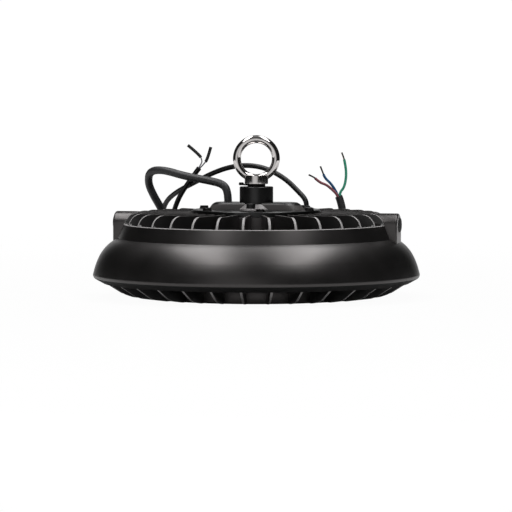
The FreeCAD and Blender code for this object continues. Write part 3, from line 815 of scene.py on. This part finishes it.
def gland(node, place, plastic, flats, height, mouth):
    """Low cable gland: a hexagon nut with a round lip at the cable."""
    nut = hexagon(flats, height - 1.2, 0.6)
    outline = [(0, 0), (flats / 2 - 1, 0), (mouth / 2, height, 0.6), (0, height)]
    lip = lathe(rounded(outline, 4), 48)
    spot = Matrix.Translation((*place, LID_TOP))
    return piece(f"{node}_nut", placed(merged(nut, lip), spot), plastic, node, crease=25.0)


# The lifting eye


def eye_ring(bright):
    """Forged ring: round stock, a little flattened on its faces."""
    middle = (EYE_HOLE + EYE_STOCK) / 2
    stock = EYE_STOCK / 2
    turns = [math.tau * i / 32 for i in range(32)]
    section = [(middle + stock * math.cos(t), 0.97 * stock * math.sin(t)) for t in turns]
    upright = Matrix.Translation((0, 0, EYE_MIDDLE)) @ Matrix.Rotation(math.pi / 2, 4, "X")
    return piece("eye_ring", placed(lathe(section), EYE_TURN @ upright), bright, "eye_bolt",
                 crease=60.0)


def eye_collar(bright):
    """Round collar that the ring grows out of, left plain where a maker puts its marks."""
    outline = [
        (0, EYE_SEAT - 8),
        (THREAD_RADIUS - 0.1, EYE_SEAT - 8),
        (THREAD_RADIUS - 0.1, EYE_SEAT),
        (EYE_COLLAR_RADIUS - 0.5, EYE_SEAT, 0.2),
        (EYE_COLLAR_RADIUS, EYE_SEAT + 0.5, 0.2),
        (EYE_COLLAR_RADIUS, EYE_COLLAR_TOP, 0.6),
        (7.4, EYE_COLLAR_TOP, 1.0),
        (6.0, EYE_COLLAR_TOP + 0.5),
        (0, EYE_COLLAR_TOP + 0.5),
    ]
    return piece("eye_collar", lathe(rounded(outline, 6), 96), bright, "eye_bolt", crease=60.0)


def lock_washer(steel):
    """Washer under the eye, with its tongue bent up."""
    hole = THREAD_RADIUS + 0.1
    outline = [(hole, 0), (WASHER_RADIUS, 0, 0.3), (WASHER_RADIUS, WASHER_THICKNESS, 0.3),
               (hole, WASHER_THICKNESS)]
    ring = lathe(rounded(outline, 3), 64)
    tongue = plate(TONGUE_OUTLINE, TONGUE_WIDTH, 0.2)
    place = EYE_TURN @ Matrix.Translation((0, 0, WASHER_BOTTOM))
    return piece("lock_washer", placed(merged(ring, tongue), place), steel, "tab_washer")


def ear_plugs(plastic):
    """Plugs in the bores of the ears: dished, with a rounded brim."""
    outline = [
        (0, -2),
        (PLUG_RADIUS, -2),
        (PLUG_RADIUS, 0.7, 0.4),
        (PLUG_RADIUS - 0.8, PLUG_HEIGHT - 0.05, 0.6),
        (PLUG_RADIUS - 2.4, PLUG_HEIGHT - 0.05, 0.2),
        (PLUG_RADIUS - 2.8, 0.9),
        (0, 0.9),
    ]
    cap = lathe(rounded(outline, 4), 48)
    lay = Matrix.Translation((EAR_END, 0, BORE_HEIGHT)) @ Matrix.Rotation(math.pi / 2, 4, "Y")
    return piece("ear_plugs", around(placed(cap, lay), 2), plastic, "side_plugs")


# The underside


def lens(plastic):
    """Flat lens with a rounded rim."""
    outline = [(0, 0), (LENS_RADIUS, 0, 0.8), (LENS_RADIUS, LENS_THICKNESS, 0.3),
               (0, LENS_THICKNESS)]
    return piece("lens", lathe(rounded(outline, 4)), plastic, "lens_plate")


# Cables


def stripped(name, route, tip, diameter, end_diameter, skin, end_skin, node, end_node):
    """A core of a cable with the bare or sleeved piece on its end."""
    heading = (Vector(route[-1]) - Vector(route[-2])).normalized()
    begin = [route[-1], Vector(route[-1]) + heading * end_diameter, tip]
    return [flexible(name, route, diameter, skin, node),
            flexible(f"{name}_end", begin, end_diameter, end_skin, end_node)]


def cables():
    """The mains cable with three cores and the dimming cable with two wires in sleeves."""
    dark_copper = near_black_copper()
    sleeve = shrink_tube()
    pale = core_pvc("pale", "#77767c", "#8d8c92")
    mains = flexible("mains_sheath", MAINS_ROUTE, MAINS_DIAMETER, pvc_sheath(), "mains_cable")
    ends = []
    for colour_name, dark, light, strands, route, tip in (
            ("brown", "#7c3c43", "#b0707a", dark_copper, BROWN_ROUTE, BROWN_TIP),
            ("blue", "#143f6a", "#2a6a9c", dark_copper, BLUE_ROUTE, BLUE_TIP),
            ("earth", "#2a9c79", "#52bd9d", tinned_copper(), EARTH_ROUTE, EARTH_TIP)):
        ends += stripped(f"{colour_name}_wire", route, tip, CORE_DIAMETER, TIP_DIAMETER,
                         core_pvc(colour_name, dark, light), strands, f"{colour_name}_core",
                         "mains_tips")
    dimmer = flexible("dimmer_sheath", DIMMER_ROUTE, DIMMER_DIAMETER, black_sheath(),
                      "dimmer_cable")
    ends = []
    for name, route, tip in (("first_wire", FIRST_WIRE_ROUTE, FIRST_SLEEVE_END),
                             ("second_wire", SECOND_WIRE_ROUTE, SECOND_SLEEVE_END)):
        ends += stripped(name, route, tip, WIRE_DIAMETER, SLEEVE_DIAMETER, pale, sleeve,
                         "dimmer_wires", "dimmer_sleeves")


# Studio


def studio(across, away, up):
    """A place that is given as the camera sees it."""
    turn = Matrix.Rotation(VIEW_TURN, 3, "Z")
    return turn @ Vector((across, away, up)) * MM


def aimed(thing, place, target):
    """Puts a camera at a place, looking at a target."""
    thing.location = place
    thing.rotation_euler = (target - place).to_track_quat("-Z", "Y").to_euler()
    bpy.context.scene.collection.objects.link(thing)


def camera():
    """A long lens from a little above, so that a pixel is as large as in the photograph."""
    data = bpy.data.cameras.new("camera")
    data.lens = SENSOR_WIDTH * VIEW_DISTANCE / (PICTURE_WIDTH * PIXEL)
    data.sensor_width = SENSOR_WIDTH
    data.shift_x = SIDE_SHIFT / PICTURE_WIDTH
    data.clip_end = 100
    eye = bpy.data.objects.new("camera", data)
    back = VIEW_DISTANCE * math.cos(VIEW_HEIGHT)
    rise = VIEW_DISTANCE * math.sin(VIEW_HEIGHT)
    aimed(eye, studio(0, -back, VIEW_AIM + rise), studio(0, 0, VIEW_AIM))
    bpy.context.scene.camera = eye


def soft_box(name, place, along):
    """A long area light over the lamp, as bright as a surface of SOFT_BOX_RADIANCE."""
    data = bpy.data.lights.new(name, "AREA")
    data.shape = "RECTANGLE"
    data.size = SOFT_BOX_WIDTH * MM
    data.size_y = SOFT_BOX_LENGTH * MM
    data.energy = SOFT_BOX_RADIANCE * math.pi * data.size * data.size_y
    box = bpy.data.objects.new(name, data)
    back = (studio(*place) - studio(*LIT_PLACE)).normalized()
    across = studio(*along).cross(back).normalized()
    box.matrix_world = Matrix((across, back.cross(across), back)).transposed().to_4x4()
    box.location = studio(*place)
    bpy.context.scene.collection.objects.link(box)


def white_paper():
    """Paper that takes the lamp's shadow, and shows white to the camera and in gloss.

    The glow that makes it white thins out near the lamp, where the shadow lies."""
    material = bpy.data.materials.new("white_paper")
    material.use_nodes = True
    tree = material.node_tree
    tree.nodes.clear()
    ray = add(tree, "ShaderNodeLightPath", {})
    seen = add(tree, "ShaderNodeMath",
               {0: ray["Is Camera Ray"], 1: ray["Is Glossy Ray"]}, operation="MAXIMUM")[0]
    seen = add(tree, "ShaderNodeMath", {0: seen, 1: ray["Is Transmission Ray"]},
               operation="MAXIMUM")[0]
    near = add(tree, "ShaderNodeMapRange",
               {"Value": ray["Is Camera Ray"], "To Min": LEAST_GLOW_MIRRORED,
                "To Max": LEAST_GLOW_SEEN})["Result"]
    place = add(tree, "ShaderNodeTexCoord", {})["Object"]
    away = add(tree, "ShaderNodeVectorMath", {0: place}, operation="LENGTH")["Value"]
    glow_share = add(tree, "ShaderNodeMapRange",
                     {"Value": away, "From Min": SHADOW_REACH * MM, "From Max": WHITE_REACH * MM,
                      "To Min": near, "To Max": 1.0})["Result"]
    share = add(tree, "ShaderNodeMath", {0: seen, 1: glow_share}, operation="MULTIPLY")[0]
    paper = add(tree, "ShaderNodeBsdfDiffuse", {"Color": linear("#cfcfcf")})["BSDF"]
    glow = add(tree, "ShaderNodeEmission", {"Color": linear("#ffffff"), "Strength": 1.0})[0]
    both = add(tree, "ShaderNodeMixShader", {0: share, 1: paper, 2: glow})[0]
    add(tree, "ShaderNodeOutputMaterial", {"Surface": both})
    return material


def floor():
    """Square table under the lamp."""
    corners = [(-1, -1), (1, -1), (1, 1), (-1, 1)]
    mesh = bpy.data.meshes.new("table_top")
    mesh.from_pydata([Vector((x * TABLE_REACH, y * TABLE_REACH, -TABLE_GAP)) * MM
                      for x, y in corners], [], [(0, 1, 2, 3)])
    mesh.materials.append(white_paper())
    table = bpy.data.objects.new("table_top", mesh)
    bpy.context.scene.collection.objects.link(table)


def backdrop():
    """A dim room that the lamp's gloss shows: white behind it, pale overhead and at the camera."""
    world = bpy.data.worlds.new("studio_room")
    bpy.context.scene.world = world
    world.use_nodes = True
    tree = world.node_tree
    tree.nodes.clear()
    ray = add(tree, "ShaderNodeLightPath", {})["Is Camera Ray"]
    heading = add(tree, "ShaderNodeTexCoord", {})["Generated"]
    room = ROOM_GLOW
    for direction, near, far, glow in GLOWS:
        towards = studio(*direction).normalized()
        facing = add(tree, "ShaderNodeVectorMath", {0: heading, 1: towards},
                     operation="DOT_PRODUCT")["Value"]
        patch = add(tree, "ShaderNodeMapRange",
                    {"Value": facing, "From Min": math.cos(math.radians(far)),
                     "From Max": math.cos(math.radians(near)), "To Max": glow})["Result"]
        room = add(tree, "ShaderNodeMath", {0: room, 1: patch}, operation="ADD")[0]
    strength = add(tree, "ShaderNodeMath", {0: room, 1: ray}, operation="MAXIMUM")[0]
    light = add(tree, "ShaderNodeBackground",
                {"Color": linear("#ffffff"), "Strength": strength})[0]
    add(tree, "ShaderNodeOutputWorld", {"Surface": light})


def lights():
    """Two boxes that draw together towards the back: the two highlights on the shoulder."""
    for name, place, along in SOFT_BOXES:
        soft_box(name, place, along)


def keep_node(node, material):
    """A CAD node that stays as it is gets its finish."""
    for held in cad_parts[node].material_slots:
        held.material = material


def build():
    camera()
    lights()
    floor()
    backdrop()
    cables()
    coat = powder_coat()
    rubbed = fin_coat()
    plastic = polyamide()
    bright = chrome()
    # painted highlight: grey for the edges of the fins and the sides of the bar
    edge_highlight_coat = grey_edge_highlight()
    # painted highlight: pale grey for the edges and ends that stand out
    pale_highlight = pale_edge_highlight()
    # painted shade under the rim, and a painted highlight on the collar's top edge
    skirt(coat, painted_shade_coat(), pale_highlight)
    fins(rubbed, edge_highlight_coat, pale_highlight)
    fin_roots(rubbed)
    core(coat)
    ears(coat, pale_highlight)
    smooth = lid_coat()
    lid(smooth)
    bar(smooth, edge_highlight_coat)
    # painted highlight: pale grey for the foot of the boss and the base of the vent
    painted_foot_highlight = foot_highlight_grey()
    hanging_boss(smooth, painted_foot_highlight)
    vent(painted_foot_highlight, plastic)
    lid_screws(black_oxide())
    gland("mains_gland", MAINS_GLAND_PLACE, plastic, flats=12.8, height=3.8, mouth=9.4)
    gland("dimmer_gland", DIMMER_GLAND_PLACE, plastic, flats=9.0, height=2.4, mouth=6.4)
    eye_ring(bright)
    eye_collar(bright)
    lock_washer(spring_steel())
    ear_plugs(plastic)
    lens(frosted_polycarbonate())
    keep_node("led_board", solder_mask())
    keep_node("led_packages", phosphor())
    keep_node("lens_gasket", silicone())
    keep_node("led_driver", bare_aluminium())
    keep_node("driver_leads", core_pvc("red", "#7a1f1f", "#8f2a2a"))


build()
bpy.context.scene.view_settings.view_transform = "Standard"
